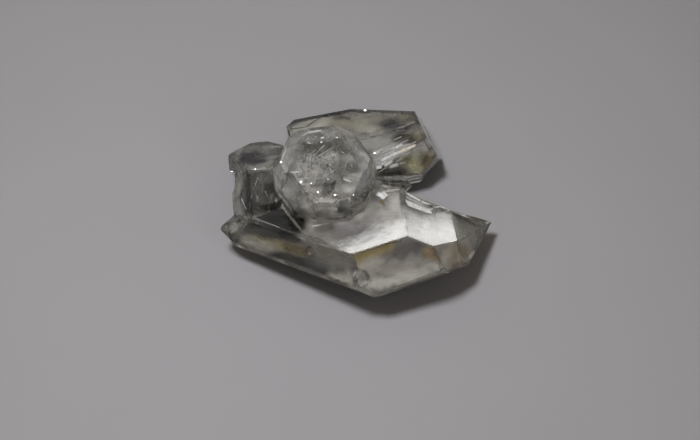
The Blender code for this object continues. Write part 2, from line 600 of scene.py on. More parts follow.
class Facing(Enum):
    """The crystal faces that a cloud can be kept to, by the way they point."""

    ANY = (0.0, 0.0, 0.0)
    MAIN_TOP = (-0.168, 0.130, 0.977)
    MAIN_TOP_RIGHT = (0.476, 0.167, 0.864)
    MAIN_FRONT = (0.166, -0.814, 0.556)
    MAIN_FRONT_LEFT = (-0.487, -0.797, 0.357)
    TIP_FRONT = (0.667, -0.460, 0.586)
    TIP_END = (0.820, -0.264, 0.508)
    LEFT_TOP = (-0.041, -0.093, 0.995)
    LEFT_BACK = (-0.108, 0.539, 0.836)
    BACK_TOP = (-0.058, 0.252, 0.966)
    BACK_FRONT = (0.159, -0.689, 0.707)
    BACK_LOW = (0.358, -0.841, 0.406)
    BACK_RIGHT = (0.887, 0.322, 0.331)
    ROUND_TOP = (0.079, -0.447, 0.891)

    def near(self, normal: Vector, least: float) -> bool:
        """Say whether a face points about this way."""
        return normal.dot(Vector(self.value)) >= least


@dataclass(frozen=True)
class Cloud:
    """A clouded zone close under a face: a line through its middle, its reach, its colour and its cover. Some
    near-black ones are painted shade.
    """

    start: Point
    end: Point
    reach: float
    colour: str
    cover: float
    facing: Facing = Facing.ANY
    softness: float = 0.9
    wisps: float = 0.25
    wisp_mm: float = 1.1
    facing_within: float = 0.93
    least_square: float = 1e-9

    def share(self, spot: Vector, normal: Vector) -> float:
        """Work out how strongly the cloud shows at a place.

        Args:
            spot: A place on the crystal face.
            normal: The way the face points there.

        Returns:
            A share from 0 to 1.
        """
        if self.facing is not Facing.ANY and not self.facing.near(normal, self.facing_within):
            return 0.0
        start, line = Vector(self.start), Vector(self.end) - Vector(self.start)
        part = min(1.0, max(0.0, (spot - start).dot(line) / max(line.length_squared, self.least_square)))
        distance = (spot - start - line * part).length
        wisp = self.wisps * self.reach * rough_noise(spot / self.wisp_mm, smoothness=0.8)
        return smooth_step((self.reach - distance + wisp) / (self.reach * self.softness))


@dataclass(frozen=True)
class CloudedLayer:
    """The haze close under every growth face, with thicker and coloured clouds in it. Some of its darkest clouds
    are painted shade, where the crystals show the shadow on the paper under them.
    """

    clouds: tuple[Cloud, ...]
    colour: str = "B9B5AC"
    cover: float = 0.32
    spacing: float = 0.42
    halvings: int = 7
    shallow: float = 0.3
    deep: float = 0.75
    fold: float = 2.0
    margin: float = 0.1
    mottle: float = 0.45
    mottle_mm: float = 0.9
    darkest: float = 0.2
    calm_within: float = 0.97
    calm: tuple[Facing, ...] = (
        Facing.MAIN_TOP,
        Facing.MAIN_TOP_RIGHT,
        Facing.MAIN_FRONT,
        Facing.MAIN_FRONT_LEFT,
        Facing.TIP_FRONT,
        Facing.TIP_END,
    )

    def mottling(self, spot: Vector, normal: Vector) -> float:
        """Work out how much lighter or darker the haze is at a place than around it.

        Args:
            spot: A place on the crystal face.
            normal: The way the face points there.

        Returns:
            A factor around 1, which is 1 all over the calm faces.
        """
        if any(face.near(normal, self.calm_within) for face in self.calm):
            return 1.0
        return max(self.darkest, 1.0 + self.mottle * rough_noise(spot / self.mottle_mm, fineness=2.1, layers=4))

    def divided(self) -> bmesh.types.BMesh:
        """Copy the crystal faces and divide them finely.

        Returns:
            The copy, in small triangles.
        """
        shape = whole_faces()
        bmesh.ops.triangulate(shape, faces=shape.faces)
        for _ in range(self.halvings):
            long_edges = [edge for edge in shape.edges if edge.calc_length() > self.spacing]
            if long_edges:
                bmesh.ops.subdivide_edges(shape, edges=long_edges, cuts=1)
                bmesh.ops.triangulate(shape, faces=[face for face in shape.faces if len(face.verts) > 3])
        shape.normal_update()
        return shape

    def tone(self, spot: Vector, normal: Vector) -> tuple[Vector, float]:
        """Mix every cloud that reaches a place.

        Args:
            spot: A place on the crystal face.
            normal: The way the face points there.

        Returns:
            The colour and the cover there.
        """
        colour, cover = Vector(linear(self.colour)), self.cover
        for cloud in self.clouds:
            share = cloud.share(spot, normal)
            if share > 0.0:
                colour = colour.lerp(Vector(linear(cloud.colour)), share)
                cover += (cloud.cover - cover) * share
        return colour, cover

    def build(self, inside: Inside) -> bpy.types.Object:
        """Make the layer as a finely divided copy of the faces, moved inwards.

        Args:
            inside: Keeps it under the faces.

        Returns:
            The piece.
        """
        shape = self.divided()
        film = Film(shape)
        places = {}
        for vertex in shape.verts:
            colour, cover = self.tone(vertex.co, vertex.normal)
            factor = self.mottling(vertex.co, vertex.normal)
            film.dress(vertex, tuple(colour * factor), min(1.0, cover * (0.5 + 0.5 * factor)))
            wave = 0.5 + 0.5 * noise.noise(vertex.co / self.fold)
            places[vertex] = vertex.co - vertex.normal * (self.shallow + (self.deep - self.shallow) * wave)
        outside = []
        for vertex, place in places.items():
            vertex.co = place
            if inside.depth(place) < self.margin:
                outside.append(vertex)
        bmesh.ops.delete(shape, geom=outside, context="VERTS")
        return film.piece("haze_and_painted_shade_under_faces", MILKY_HAZE)


@dataclass(frozen=True)
class Crack:
    """One crinkled crack: its middle, the way it faces, its long direction, its size, colour and cover."""

    middle: Point
    facing: Point
    along: Point
    length: float
    width: float
    colour: str = "EDEEEF"
    cover: float = 0.7
    ripple: float = 0.25
    ripple_length: float = 1.6
    seed: int = 0


@dataclass(frozen=True)
class CrackSet:
    """Some cracks of one crystal as one piece."""

    name: str
    flaw: QuartzFlaw
    cracks: tuple[Crack, ...]
    spacing: float = 0.22
    margin: float = 0.08
    faceted: bool = False
    facet_contrast: float = 0.75
    rim_mm: float = 1.1
    rim_wander: float = 0.5
    rim_fade: float = 0.3
    seed_step: Point = (7.3, 3.1, 5.7)

    def add(self, film: Film, crack: Crack, inside: Inside) -> None:
        """Add one crack to the film: a rippled grid with an uneven edge that fades out.

        Args:
            film: What it is added to.
            crack: Its place and its sizes.
            inside: Cuts it off under the crystal faces.
        """
        facing = Vector(crack.facing).normalized()
        along = Vector(crack.along)
        along = (along - facing * along.dot(facing)).normalized()
        across = facing.cross(along)
        shift = Vector(self.seed_step) * crack.seed
        colour = linear(crack.colour)
        outside = []
        for vertex in unit_sheet(film.shape, (crack.length / self.spacing, crack.width / self.spacing), 3):
            x, y = vertex.co.x, vertex.co.y
            spot = Vector(crack.middle) + along * x * crack.length + across * y * crack.width
            wave = rough_noise((spot + shift) / crack.ripple_length, smoothness=0.8)
            vertex.co = spot + facing * wave * crack.ripple
            wander = self.rim_wander * noise.noise((spot - shift) / self.rim_mm)
            rim = 1.0 + wander - 2.0 * math.hypot(x, y)
            film.dress(vertex, colour, crack.cover * smooth_step(rim / self.rim_fade))
            if rim < 0.0 or inside.depth(vertex.co) < self.margin:
                outside.append(vertex)
        bmesh.ops.delete(film.shape, geom=outside, context="VERTS")

    def build(self, inside: Inside) -> bpy.types.Object:
        """Make all the cracks as one piece.

        Args:
            inside: Cuts them off under the crystal faces.

        Returns:
            The piece.
        """
        film = Film()
        for crack in self.cracks:
            self.add(film, crack, inside)
        if self.faceted:
            bmesh.ops.triangulate(film.shape, faces=film.shape.faces)
            # Each flat step is drawn lighter or darker at random: painted light and shade for the part of the
            # room it mirrors.
            rng = random.Random(len(self.cracks))
            for face in film.shape.faces:
                face[film.facet] = rng.uniform(-self.facet_contrast, self.facet_contrast)
        return film.piece(self.name, self.flaw, smooth=not self.faceted)


@dataclass(frozen=True)
class Spark:
    """A bright splinter of a crack: its middle, the way it faces, its radius and how round it is."""

    middle: Point
    facing: Point
    radius: float
    roundness: float = 0.8


@dataclass(frozen=True)
class Shatter:
    """One size of crack that fills the round crystal."""

    name: str
    count: int
    largest: float
    lean: float
    spacing: float


@dataclass(frozen=True)
class RoundCrystalCracks:
    """The round crystal is full of crinkled cracks and crumbs of cracks, with bright splinters among them."""

    sparks: tuple[Spark, ...]
    sizes: tuple[Shatter, ...] = (
        Shatter("round_crystal_cracks", 16, 3.8, 0.6, 0.28),
        Shatter("round_crystal_crumbs", 170, 1.5, 0.7, 0.2),
    )
    seed: int = 40
    middle: Point = (-3.3, 0.2, 9.6)
    within: float = 3.9
    crowd: Point = (0.1, -0.6, 1.2)
    crowd_height: float = 1.5
    crack_spread: float = 2.4
    lengths: Span = (0.4, 1.0)
    widths: Span = (0.2, 0.6)
    covers: Span = (0.75, 1.0)
    turns: Span = (1.5, 0.5)
    crumple: float = 0.16
    crumple_mm: float = 0.7
    # The dark crumb colour 5B5548 is painted shade, for crumbs whose steps face a dark part of the room.
    colours: tuple[str, ...] = ("F4F4F4", "E2E0DC", "F4F4F4", "5B5548", "C9C6BF")
    # The way a splinter under the crystal's top face points when it flashes the lamp at the viewer.
    flash: Point = (-0.03, -0.37, 0.93)
    splinter_count: int = 110
    splinter_jitter: float = 0.13
    splinter_spread: float = 1.9
    splinter_radii: Span = (0.03, 0.09)
    splinter_roundness: Span = (0.4, 1.0)
    splinter_depth: float = 0.35
    splinter_colour: str = "FFFFFF"

    def spot(self, rng: random.Random, spread: float) -> Vector:
        """Pick a place in the crystal, most often in its upper front part.

        Args:
            rng: Where the chance comes from.
            spread: How far the places scatter.

        Returns:
            The place.
        """
        spreads = (spread, spread, self.crowd_height)
        while True:
            shift = Vector([rng.gauss(middle, reach) for middle, reach in zip(self.crowd, spreads)])
            if shift.length < self.within:
                return Vector(self.middle) + shift

    def scattered(self, size: Shatter) -> tuple[Crack, ...]:
        """Spread cracks of one size and many slants through the crystal.

        Args:
            size: How many, how long and how far they lean off the way that flashes.

        Returns:
            The cracks.
        """
        rng = random.Random(self.seed + size.count)
        found = []
        for index in range(size.count):
            slant = Vector((rng.uniform(-size.lean, size.lean), rng.uniform(-size.lean, size.lean), 0.0))
            length = rng.uniform(*self.lengths) * size.largest
            found.append(
                Crack(
                    tuple(self.spot(rng, self.crack_spread)),
                    tuple(Vector(self.flash) + slant),
                    (1.0, *(rng.uniform(-turn, turn) for turn in self.turns)),
                    length,
                    length * rng.uniform(*self.widths),
                    self.colours[index % len(self.colours)],
                    cover=rng.uniform(*self.covers),
                    ripple=self.crumple * length,
                    ripple_length=self.crumple_mm,
                    seed=self.seed + index,
                )
            )
        return tuple(found)

    def splinter(self, film: Film, spark: Spark) -> None:
        """Add one flat five-sided splinter to the film.

        Args:
            film: What it is added to.
            spark: Its place, its size and the way it faces.
        """
        made = bmesh.ops.create_circle(film.shape, cap_ends=True, segments=5, radius=spark.radius)["verts"]
        turn = Vector(spark.facing).to_track_quat("Z", "Y").to_matrix()
        bmesh.ops.scale(film.shape, vec=Vector((1.0, spark.roundness, 1.0)), verts=made)
        bmesh.ops.rotate(film.shape, matrix=turn, verts=made)
        bmesh.ops.translate(film.shape, vec=Vector(spark.middle), verts=made)
        for vertex in made:
            film.dress(vertex, linear(self.splinter_colour), 1.0)

    def splinters(self, inside: Inside) -> bpy.types.Object:
        """Scatter tiny mirror splinters in the front half, and set the brightest where they flash.

        Args:
            inside: Keeps them under the crystal faces.

        Returns:
            The piece.
        """
        rng = random.Random(self.seed)
        film = Film()
        for spark in self.sparks:
            self.splinter(film, spark)
        kept = 0
        while kept < self.splinter_count:
            spot = self.spot(rng, self.splinter_spread)
            lean = Vector((rng.gauss(0.0, self.splinter_jitter), rng.gauss(0.0, self.splinter_jitter), 0.0))
            radius, roundness = rng.uniform(*self.splinter_radii), rng.uniform(*self.splinter_roundness)
            if inside.depth(spot) > self.splinter_depth and spot.y < self.middle[1]:
                self.splinter(film, Spark(tuple(spot), tuple(Vector(self.flash) + lean), radius, roundness))
                kept += 1
        return film.piece("crack_splinters", SPLINTER)

    def build(self, inside: Inside) -> list[bpy.types.Object]:
        """Make the cracks, the crumbs and the splinters.

        Args:
            inside: Keeps them under the crystal faces.

        Returns:
            The pieces.
        """
        made = []
        for size in self.sizes:
            cracks = CrackSet(size.name, CRUMPLED, self.scattered(size), spacing=size.spacing, faceted=True)
            made.append(cracks.build(inside))
        return [*made, self.splinters(inside)]


@dataclass(frozen=True)
class Speck:
    """One lump of carbon: its middle, its size along each axis and its seed."""

    middle: Point
    size: Point
    seed: int


@dataclass(frozen=True)
class CarbonSpecks:
    """The black lumps shut inside the crystals."""

    specks: tuple[Speck, ...]
    finish: Carbon = field(default_factory=Carbon)
    unevenness: float = 0.45
    lumps: float = 1.4
    least_depth: float = 0.05
    squeezed: float = 0.35
    seed_step: Point = (4.7, 1.9, 8.3)

    def build(self, inside: Inside) -> bpy.types.Object:
        """Make every lump.

        Args:
            inside: Keeps the lumps under the crystal faces.

        Returns:
            The piece.
        """
        shape = bmesh.new()
        for speck in self.specks:
            made = bmesh.ops.create_icosphere(shape, subdivisions=3, radius=1.0)["verts"]
            shift = Vector(self.seed_step) * speck.seed
            for vertex in made:
                rough = rough_noise(vertex.co * self.lumps + shift)
                swell = 1.0 + self.unevenness * rough
                reach = Vector([swell * vertex.co[k] * speck.size[k] for k in range(3)])
                vertex.co = Vector(speck.middle) + reach
                if inside.depth(vertex.co) < self.least_depth:
                    vertex.co = Vector(speck.middle) + reach * self.squeezed
        piece = object_from(shape, "carbon_specks", self.finish.build())
        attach(piece, BODY)
        return piece


@dataclass(frozen=True)
class ScuffOrPaintedLight:
    """A strip of a face, from one point to another: chipped, worn or stained, or a painted highlight, glint or
    shade.
    """

    start: Point
    end: Point
    width: float
    colour: str = "F4F2EF"
    cover: float = 0.85
    relief: float = 0.0


@dataclass(frozen=True)
class Streaks:
    """A field of fine streaks on a face: growth lines, hairline cracks that reach the surface, or white painted
    glints where cracks flash the lamp.
    """

    start: Point
    end: Point
    reach: float
    along: Point
    count: int
    longest: float
    widest: float = 0.14
    cover: float = 0.45
    stray: float = 0.15
    colours: tuple[str, ...] = ("E9E7E2", "BDB9B0", "D8D5CD")
    seed: int = 1
    halves: Span = (0.15, 0.5)
    widths: Span = (0.5, 1.0)
    covers: Span = (0.4, 1.0)

    def markings(self) -> tuple[ScuffOrPaintedLight, ...]:
        """Scatter the streaks along the field's middle line.

        Returns:
            The streaks as scuffs.
        """
        rng = random.Random(self.seed)
        start, line = Vector(self.start), Vector(self.end) - Vector(self.start)
        found = []
        for _ in range(self.count):
            aside = Vector([rng.gauss(0.0, 0.5 * self.reach) for _ in range(3)])
            stray = Vector([rng.gauss(0.0, self.stray) for _ in range(3)])
            middle = start + line * rng.random() + aside
            half = (Vector(self.along).normalized() + stray) * rng.uniform(*self.halves) * self.longest
            width = self.widest * rng.uniform(*self.widths)
            cover = self.cover * rng.uniform(*self.covers)
            colour = rng.choice(self.colours)
            found.append(ScuffOrPaintedLight(tuple(middle - half), tuple(middle + half), width, colour, cover))
        return tuple(found)


@dataclass(frozen=True)
class ScuffsAndPaintedLight:
    """Every chip, stain, painted highlight and painted shade on the faces as one piece, lifted a hair off them.
    """

    markings: tuple[ScuffOrPaintedLight, ...]
    fields: tuple[Streaks, ...]
    lift: float = 0.012
    step_along: float = 0.1
    step_across: float = 0.06
    ragged: float = 0.4
    ragged_mm: float = 0.35
    rim_fade: float = 0.35
    end_squareness: int = 6
    side_squareness: int = 4

    def add(self, film: Film, marking: ScuffOrPaintedLight, inside: Inside) -> None:
        """Lay one scuff on the faces, with a ragged rim that fades out.

        Args:
            film: What it is added to.
            marking: Its place and its sizes.
            inside: Says where the faces are.
        """
        start, line = Vector(marking.start), Vector(marking.end) - Vector(marking.start)
        across = inside.facing(start + line * 0.5).cross(line).normalized()
        colour = linear(marking.colour)
        cells = (line.length / self.step_along, marking.width / self.step_across)
        for vertex in unit_sheet(film.shape, cells, 4):
            x, y = vertex.co.x, vertex.co.y
            spot = start + line * (x + 0.5) + across * y * marking.width
            rough = rough_noise(spot / self.ragged_mm)
            square = (2.0 * abs(x)) ** self.end_squareness, (2.0 * abs(y)) ** self.side_squareness
            rim = 1.0 - square[0] - square[1] + self.ragged * rough
            film.dress(vertex, colour, marking.cover * smooth_step(rim / self.rim_fade))
            vertex.co = inside.on_face(spot, self.lift + marking.relief * abs(rough) * smooth_step(rim))

    def build(self, inside: Inside) -> bpy.types.Object:
        """Lay every scuff and every streak on the faces.

        Args:
            inside: Says where the faces are.

        Returns:
            The piece.
        """
        film = Film()
        for marking in self.markings:
            self.add(film, marking, inside)
        for streaks in self.fields:
            for marking in streaks.markings():
                self.add(film, marking, inside)
        return film.piece("chips_stains_and_painted_light", CHIPPED_AND_PAINTED_LIGHT)


MAIN_HAZE_AND_PAINTED_SHADE = (
    Cloud((-3.0, -5.0, 8.0), (6.0, -3.0, 8.5), 4.0, "DDD8D2", 0.6, Facing.MAIN_TOP),
    Cloud((-1.6, -5.6, 8.4), (0.6, -5.8, 8.8), 2.2, "A19DA0", 0.75, Facing.MAIN_TOP),
    Cloud((1.4, -3.2, 8.9), (3.6, -3.6, 9.2), 1.8, "E8E4DF", 0.68, Facing.MAIN_TOP),
    Cloud((5.5, -4.5, 8.6), (8.0, -3.0, 7.4), 3.4, "F8F5F2", 0.85, Facing.MAIN_TOP_RIGHT),
    Cloud((0.0, -9.0, 7.6), (9.0, -7.6, 7.0), 3.6, "EFE8DE", 0.75, Facing.MAIN_FRONT),
    Cloud((2.6, -8.2, 9.0), (6.2, -7.7, 8.6), 2.0, "504D52", 0.82, Facing.MAIN_FRONT),
    Cloud((-0.4, -9.0, 8.8), (2.8, -7.9, 9.4), 1.6, "BFA960", 0.85, Facing.MAIN_FRONT),
    Cloud((7.0, -8.0, 8.0), (7.7, -7.9, 7.6), 1.4, "AC8A50", 0.85, Facing.MAIN_FRONT),
    Cloud((1.0, -10.5, 5.9), (8.6, -8.6, 6.4), 1.2, "FFFAF2", 0.85, Facing.MAIN_FRONT),
    Cloud((9.0, -7.8, 6.2), (10.6, -6.2, 5.3), 2.6, "DED2C0", 0.85, Facing.TIP_FRONT),
    Cloud((10.0, -6.2, 5.8), (11.2, -6.0, 4.8), 1.2, "A89A74", 0.7),
    Cloud((10.6, -3.1, 5.7), (12.0, -3.6, 5.0), 2.6, "7F7B77", 0.8),
    # Painted shade: the dark clouds under the front-left face (4F4C43, 322F18 and 201E16) darken it where it
    # looks down on to the crystals' own shadow.
    Cloud((-12.0, -3.8, 4.6), (-0.5, -9.6, 6.6), 3.6, "4F4C43", 0.8, Facing.MAIN_FRONT_LEFT),
    Cloud(
        (-10.4, -4.0, 5.9), (-6.4, -5.9, 7.2), 1.6, "322F18", 0.95, Facing.MAIN_FRONT_LEFT, softness=0.7
    ),
    Cloud((-9.6, -5.1, 4.8), (-5.6, -6.8, 6.2), 1.3, "F4E6B8", 0.85, softness=1.2),
    Cloud((-11.4, -4.4, 4.0), (-8.6, -5.7, 4.8), 1.0, "E4DECF", 0.85, Facing.MAIN_FRONT_LEFT),
    Cloud((-7.0, -6.3, 5.8), (-3.2, -7.7, 7.3), 0.9, "806438", 0.75),
    Cloud(
        (-8.2, -6.3, 4.1), (-3.6, -8.3, 5.7), 1.1, "201E16", 0.95, Facing.MAIN_FRONT_LEFT, softness=0.7
    ),
    Cloud((-4.4, -7.4, 6.8), (-0.8, -9.0, 7.6), 1.3, "8F8B82", 0.8, Facing.MAIN_FRONT_LEFT),
    Cloud((-2.0, -9.4, 5.0), (-0.4, -9.9, 6.2), 1.7, "FFF8EC", 0.9, Facing.MAIN_FRONT_LEFT),
    Cloud((-0.5, -9.6, 7.6), (-0.1, -10.2, 6.0), 0.8, "7A756C", 0.85, Facing.MAIN_FRONT_LEFT),
    Cloud((-5.4, -6.6, 7.8), (-0.8, -8.6, 8.9), 0.6, "A89C8A", 0.85, Facing.MAIN_FRONT_LEFT),
)
LEFT_HAZE_AND_PAINTED_SHADE = (
    Cloud((-10.4, 5.5, 4.4), (-9.4, 6.5, 4.2), 3.0, "9C9C98", 0.75),
    Cloud((-11.2, 5.8, 4.4), (-10.6, 4.4, 4.8), 1.8, "1E1B24", 1.0, softness=0.7),
    Cloud((-11.8, 3.2, 5.2), (-9.4, 2.8, 6.1), 1.5, "AAAA9E", 0.8),
    # Painted shade: these three near-black clouds darken the left crystal where it shows the shadow on the paper
    # beneath it.
    Cloud((-10.6, 1.4, 6.1), (-9.0, 1.2, 6.2), 2.1, "2A2A20", 1.0, softness=0.6, wisps=0.15),
    Cloud((-10.8, -0.2, 6.0), (-8.4, -0.8, 6.0), 2.4, "14130A", 1.0, softness=0.5, wisps=0.15),
    Cloud((-9.4, -2.4, 6.8), (-6.4, -4.6, 7.6), 2.0, "161511", 1.0, softness=0.45, wisps=0.1),
    Cloud((-12.6, -3.0, 4.9), (-12.2, -3.8, 4.6), 1.2, "8E8D82", 0.7),
)
BACK_HAZE_AND_PAINTED_SHADE = (
    Cloud((-6.6, 6.8, 7.6), (-3.0, 7.6, 7.8), 2.2, "DEDACE", 0.78, Facing.BACK_TOP),
    Cloud((-1.6, 7.6, 7.8), (2.0, 7.4, 8.0), 2.4, "B8B29E", 0.7, Facing.BACK_TOP),
    Cloud((-2.0, 8.3, 7.6), (-1.0, 8.2, 7.7), 0.9, "6E6858", 0.75, Facing.BACK_TOP),
    Cloud((0.5, 6.5, 8.3), (1.6, 6.4, 8.3), 1.0, "E6E2D6", 0.8, Facing.BACK_TOP),
    Cloud((2.9, 7.0, 8.3), (5.0, 6.7, 8.4), 1.4, "453F44", 0.92, Facing.BACK_TOP, softness=0.8),
    Cloud((4.6, 8.3, 8.0), (5.6, 8.0, 8.0), 1.4, "A5A28F", 0.7, Facing.BACK_TOP),
    Cloud((1.4, 4.9, 8.0), (3.6, 4.9, 7.7), 2.4, "DDDAD3", 0.72, Facing.BACK_FRONT),
    Cloud((2.4, 3.6, 6.5), (4.6, 4.1, 6.7), 1.5, "FFFDF8", 0.9),
    Cloud((4.4, 5.6, 8.0), (5.6, 5.4, 7.8), 1.3, "4A4028", 0.9, Facing.BACK_FRONT),
    Cloud((6.3, 6.0, 8.0), (7.0, 5.6, 7.6), 1.1, "C6BE9C", 0.75, Facing.BACK_FRONT),
    Cloud((5.4, 4.1, 5.4), (6.9, 4.0, 4.4), 2.4, "F2EEC8", 0.8, Facing.BACK_LOW),
    Cloud((6.1, 4.8, 6.4), (7.6, 5.0, 5.8), 1.1, "F4F1E6", 0.8, Facing.BACK_LOW),
    Cloud((7.0, 4.3, 4.9), (7.2, 4.6, 5.3), 0.7, "B89868", 0.45, Facing.BACK_LOW),
    # Painted shade: the dark notch between the back crystal's underside and the main crystal.
    Cloud((2.6, 2.8, 5.4), (4.8, 2.9, 4.6), 1.5, "2E2C2C", 0.92, Facing.BACK_LOW),
    Cloud((7.6, 6.0, 5.4), (7.4, 6.6, 6.4), 1.8, "A7A280", 0.7, Facing.BACK_RIGHT),
    # Painted shade: the dark gap between the back crystal and the main crystal's top.
    Cloud((2.9, 1.0, 7.9), (4.5, 0.9, 7.6), 1.3, "24221E", 0.95, softness=0.6),
    Cloud((2.4, -0.9, 8.8), (4.2, -1.0, 8.7), 0.8, "D6D8C8", 0.75),
)
ROUND_CLOUDS = (
    Cloud((-3.3, 0.2, 9.6), (-3.3, 0.2, 9.6), 7.0, "D8D6D1", 0.32, softness=0.2),
    Cloud((0.2, -2.0, 12.0), (1.2, 0.6, 11.6), 2.5, "FFFFFC", 0.8),
    Cloud((-6.8, -1.8, 11.2), (-6.6, 1.0, 12.2), 2.3, "F8F7F4", 0.88),
    Cloud((-5.8, 2.3, 12.6), (-1.4, 2.8, 13.0), 1.0, "EDECE8", 0.7),
    Cloud((-5.0, 0.6, 13.5), (-3.6, 0.4, 13.6), 1.1, "5A5546", 0.75, Facing.ROUND_TOP),
    Cloud((-2.6, 0.8, 13.4), (-1.4, 0.4, 13.2), 1.1, "5A5546", 0.75, Facing.ROUND_TOP),
    Cloud((-4.4, -2.8, 12.0), (-2.6, -2.6, 12.1), 0.5, "4A453A", 0.8, Facing.ROUND_TOP),
    Cloud((-3.4, -1.0, 12.8), (-0.4, -1.2, 12.6), 1.4, "7F7B74", 0.7, Facing.ROUND_TOP),
    Cloud((-1.6, -2.4, 12.0), (-0.2, -2.2, 12.0), 1.0, "8A867F", 0.7, Facing.ROUND_TOP),
    Cloud((-5.4, -3.4, 11.7), (-1.0, -3.7, 11.4), 0.8, "8F8B85", 0.55, Facing.ROUND_TOP),
    Cloud((-5.0, -4.3, 10.6), (-1.4, -4.6, 10.4), 1.3, "F4F0EA", 0.8),
    Cloud((-1.4, -4.0, 9.8), (0.8, -2.6, 10.2), 1.5, "302C2A", 0.95),
    Cloud((-5.6, -4.2, 9.0), (-3.0, -4.6, 9.2), 1.2, "C8C0B8", 0.85),
)

BACK_CRACKS = CrackSet(
    "back_crystal_cracks",
    OPEN_CRACK,
    (
        Crack(
            (3.0, 4.6, 6.5), (-0.02, -0.5, 0.87), (1.0, 0.6, 0.3), 6.0, 1.6, cover=0.6, ripple=0.2, seed=14
        ),
        Crack(
            (4.0, 4.6, 6.3), (0.0, -0.5, 0.87), (1.0, 0.6, 0.3), 4.8, 0.7, cover=1.0, ripple=0.06, seed=15
        ),
        Crack(
            (2.8, 3.8, 5.9), (0.05, -0.55, 0.83), (1.0, 0.6, 0.3), 2.6, 0.7, cover=1.0, ripple=0.06, seed=16
        ),
        Crack(
            (1.8, 4.2, 6.8), (-0.01, -0.5, 0.87), (1.0, 0.3, 0.2), 1.6, 1.0, cover=0.9, ripple=0.15, seed=18
        ),
        Crack((-0.6, 7.4, 7.0), (-0.1, -0.14, 0.98), (1.0, 0.2, 0.0), 8.0, 2.5, cover=0.4, seed=17),
        Crack((4.4, 5.6, 7.4), (0.0, -0.4, 0.9), (1.0, 0.3, 0.2), 1.8, 0.5, "8F8468", 0.8, 0.1, seed=19),
    ),
)
LEFT_CRACKS = CrackSet(
    "left_crystal_cracks",
    OPEN_CRACK,
    (
        Crack(
            (-9.6, 5.4, 3.8), (-0.07, 0.04, 1.0), (1.0, 0.6, 0.0), 3.6, 2.6, cover=0.35, ripple=0.5, seed=9
        ),
        Crack(
            (-8.9, 4.2, 4.6), (-0.1, 0.0, 1.0), (0.4, 1.0, 0.0), 2.6, 1.2, cover=0.35, ripple=0.5, seed=11
        ),
        Crack(
            (-10.2, 1.2, 5.75), (-0.1, 0.0, 1.0), (0.3, 1.0, 0.0), 2.2, 0.2, cover=0.5, ripple=0.1, seed=10
        ),
        Crack(
            (-9.2, 0.4, 5.75), (-0.1, 0.0, 1.0), (-0.4, 1.0, 0.0), 2.2, 0.18, cover=0.5, ripple=0.1, seed=12
        ),
        Crack(
            (-10.6, -0.4, 5.6), (-0.2, -0.1, 1.0), (0.2, 1.0, 0.0), 2.0, 0.16, cover=0.5, ripple=0.1, seed=13
        ),
        Crack(
            (-9.8, 1.6, 5.7), (-0.1, 0.0, 1.0), (1.0, 0.5, 0.0), 1.6, 0.16, cover=0.5, ripple=0.1, seed=26
        ),
        Crack(
            (-8.8, -0.6, 5.6), (-0.1, 0.0, 1.0), (0.8, 1.0, 0.0), 1.6, 0.16, cover=0.5, ripple=0.1, seed=27
        ),
    ),
)
MAIN_CRACKS = CrackSet(
    "main_crystal_cracks",
    OPEN_CRACK,
    (
        Crack(
            (-0.3, -9.5, 6.8), (-0.06, -0.63, 0.78), (0.15, -0.35, 1.0), 2.8, 0.4, cover=0.6, ripple=0.1, seed=21
        ),
        Crack(
            (0.4, -9.6, 6.4), (-0.06, -0.63, 0.78), (0.2, -0.35, 1.0), 2.6, 0.35, cover=0.6, ripple=0.1, seed=22
        ),
        Crack(
            (0.9, -9.6, 6.6), (0.0, -0.63, 0.78), (0.3, -0.35, 1.0), 2.2, 0.3, cover=0.6, ripple=0.1, seed=28
        ),
        Crack(
            (-8.2, -4.9, 4.9), (-0.26, -0.57, 0.78), (0.85, -0.45, 0.2), 4.0, 0.5, "E6DCA8", 0.7, 0.1, seed=23
        ),
        Crack(
            (10.8, -6.1, 4.5), (0.34, -0.33, 0.88), (0.2, 1.0, 0.0), 1.6, 0.9, cover=0.8, ripple=0.1, seed=24
        ),
        Crack(
            (-2.2, -9.0, 5.6), (-0.26, -0.6, 0.75), (0.85, -0.5, 0.3), 2.4, 0.5, cover=0.5, ripple=0.1, seed=25
        ),
    ),
)

MAIN_HAZE = CrackSet(
    "main_crystal_haze",
    MILKY_HAZE,
    (
        Crack(
            (1.0, -5.2, 6.8), (-0.17, 0.1, 0.98), (1.0, 0.0, 0.2), 18.0, 6.0, "E6DFD8", 0.3, 0.3, 4.0, 31
        ),
        Crack(
            (5.0, -7.0, 6.2), (0.1, -0.75, 0.6), (1.0, 0.1, 0.0), 11.0, 4.5, "E6DFD8", 0.3, 0.3, 3.0, 32
        ),
        Crack((9.6, -4.6, 4.8), (0.6, -0.1, 0.8), (0.3, 1.0, 0.0), 5.0, 4.0, "E6DFD8", 0.3, 0.3, 3.0, 33),
    ),
    spacing=0.3,
)

